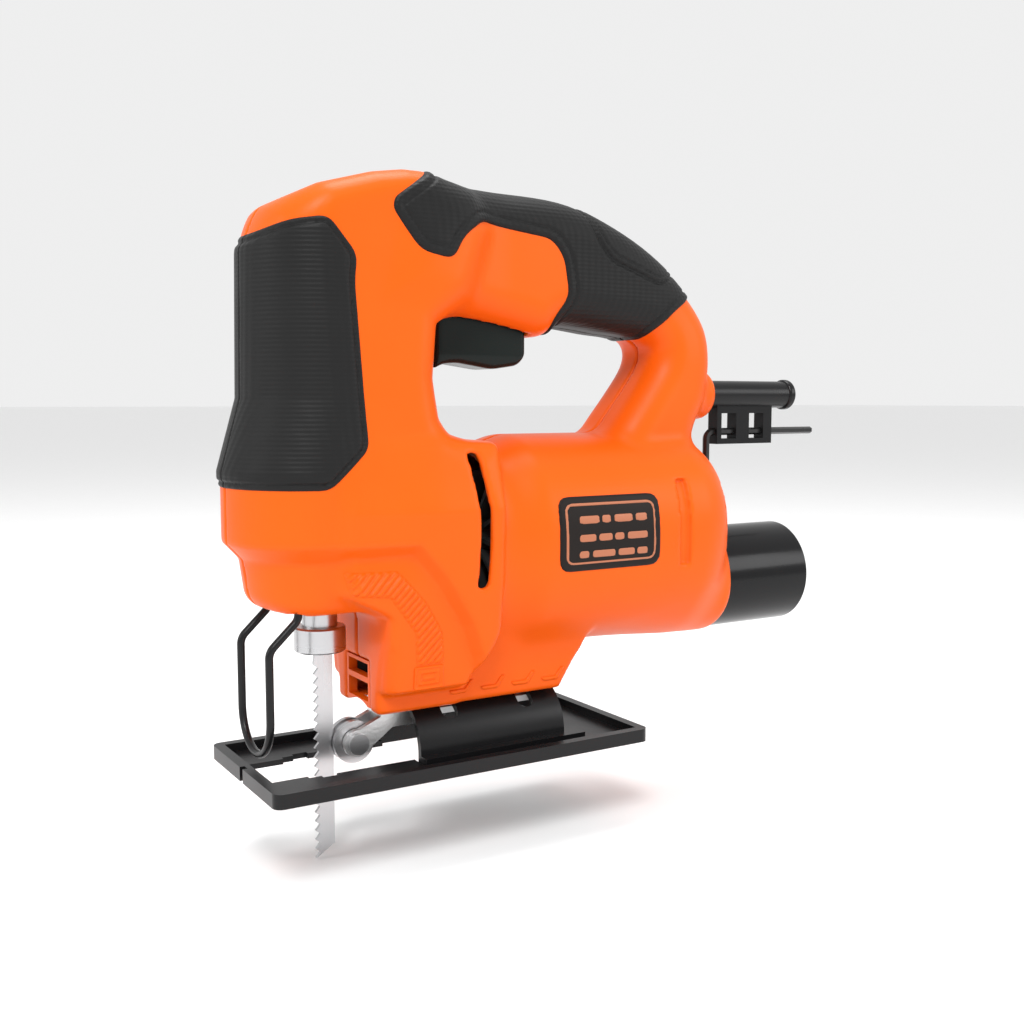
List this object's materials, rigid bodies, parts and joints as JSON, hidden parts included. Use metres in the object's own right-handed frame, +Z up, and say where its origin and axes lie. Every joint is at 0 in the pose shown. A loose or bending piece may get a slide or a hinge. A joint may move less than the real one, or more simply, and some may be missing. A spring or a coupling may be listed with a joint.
{
  "type": "jigsaw power tool",
  "caption": "Corded jigsaw with a closed loop handle, reciprocating blade behind a wire guard, tilting slotted shoe, guide roller, dust port and a key store on the cord sleeve.",
  "frame": {"origin": "where the plunger axis meets the sole of the shoe", "axes": "+X towards the front of the tool, +Y towards its left side, +Z up, away from the work"},
  "size_m": [0.2438, 0.0668, 0.2197],
  "materials": {
    "orange_shell": "fine satin moulded surface",
    "soft_grip": "soft overmould with a fine moulded grid",
    "gloss_black": "smooth gloss",
    "trigger_plastic": "semi gloss",
    "badge_plastic": "matt plate with a raised border",
    "cord_rubber": "satin rubber",
    "inner_plastic": "plain moulded",
    "shoe_steel": "satin black coating",
    "bright_steel": "ground and brushed",
    "zinc_steel": "zinc plated",
    "black_steel": "black oxide",
    "cast_alloy": "die cast",
    "sintered_bronze": "sintered",
    "laminated_steel": "laminated stack",
    "copper": "enamelled copper",
    "carbon": "carbon block"
  },
  "bodies": {
    "housing": {"left_housing": "orange_shell", "right_housing": "orange_shell", "housing_screws": "black_steel", "left_nose_grip": "soft_grip", "right_nose_grip": "soft_grip", "left_handle_grip": "soft_grip", "right_handle_grip": "soft_grip", "left_nameplate": "badge_plastic", "right_nameplate": "badge_plastic", "roller_bracket": "zinc_steel", "shoe_screws": "zinc_steel", "shoe_clamp_nuts": "zinc_steel", "roller_pin": "zinc_steel", "blade_guard": "black_steel", "lower_plunger_bushing": "sintered_bronze", "upper_plunger_bushing": "sintered_bronze", "plunger_seal": "cord_rubber", "gear_shaft": "bright_steel", "gear_case": "cast_alloy", "field_core": "laminated_steel", "field_coils": "copper", "front_bearing": "bright_steel", "rear_bearing": "bright_steel", "brushes": "carbon", "brush_holders": "inner_plastic", "brush_springs": "bright_steel", "trigger_spring": "bright_steel", "switch_body": "inner_plastic", "capacitor": "inner_plastic", "lead_wires": "cord_rubber", "cord_sleeve": "cord_rubber", "cord_clamp": "inner_plastic", "cord_clamp_screws": "zinc_steel", "hex_key_holder": "cord_rubber", "dust_port": "gloss_black", "dust_duct": "inner_plastic", "dust_nozzle": "orange_shell"},
    "trigger": {"trigger": "trigger_plastic"},
    "plunger": {"plunger": "bright_steel", "blade_collar": "bright_steel", "blade": "bright_steel"},
    "clamp_screw": {"clamp_screw": "black_steel"},
    "armature": {"armature_shaft": "bright_steel", "armature_core": "laminated_steel", "armature_windings": "copper", "commutator": "copper", "fan": "inner_plastic"},
    "drive_gear": {"drive_gear": "bright_steel", "gear_bushing": "sintered_bronze"},
    "guide_roller": {"guide_roller": "bright_steel"},
    "shoe": {"shoe": "shoe_steel"},
    "hex_key": {"hex_key": "black_steel"}
  },
  "joints": [
    {"name": "trigger_squeeze", "type": "slide", "parent": "housing", "child": "trigger", "axis": [0, 0, 1], "range_m": [0, 0.005], "stiffness_N_per_m": 900, "springref_m": -0.004, "deforming": ["trigger_spring"]},
    {"name": "plunger_stroke", "type": "slide", "parent": "housing", "child": "plunger", "axis": [0, 0, 1], "range_m": [-0.016, 0]},
    {"name": "clamp_screw_turn", "type": "hinge", "parent": "plunger", "child": "clamp_screw", "pos_m": [0, -0.005, 0.0425], "axis": [0, -1, 0], "range_deg": [0, 360]},
    {"name": "armature_spin", "type": "hinge", "parent": "housing", "child": "armature", "pos_m": [-0.09, 0, 0.072], "axis": [1, 0, 0], "continuous": true},
    {"name": "drive_gear_spin", "type": "hinge", "parent": "housing", "child": "drive_gear", "pos_m": [-0.02, 0, 0.099], "axis": [1, 0, 0], "continuous": true},
    {"name": "guide_roller_spin", "type": "hinge", "parent": "housing", "child": "guide_roller", "pos_m": [-0.01015, 0, 0.0079], "axis": [0, 1, 0], "continuous": true},
    {"name": "shoe_tilt", "type": "hinge", "parent": "housing", "child": "shoe", "pos_m": [-0.05, 0, 0.004], "axis": [1, 0, 0], "range_deg": [-45, 45]},
    {"name": "hex_key_swing", "type": "hinge", "parent": "housing", "child": "hex_key", "pos_m": [-0.18, 0, 0.1055], "axis": [1, 0, 0], "range_deg": [-90, 90]}
  ],
  "couplings": [
    {"joint": "drive_gear_spin", "follows": "armature_spin", "ratio": -0.22727}
  ]
}
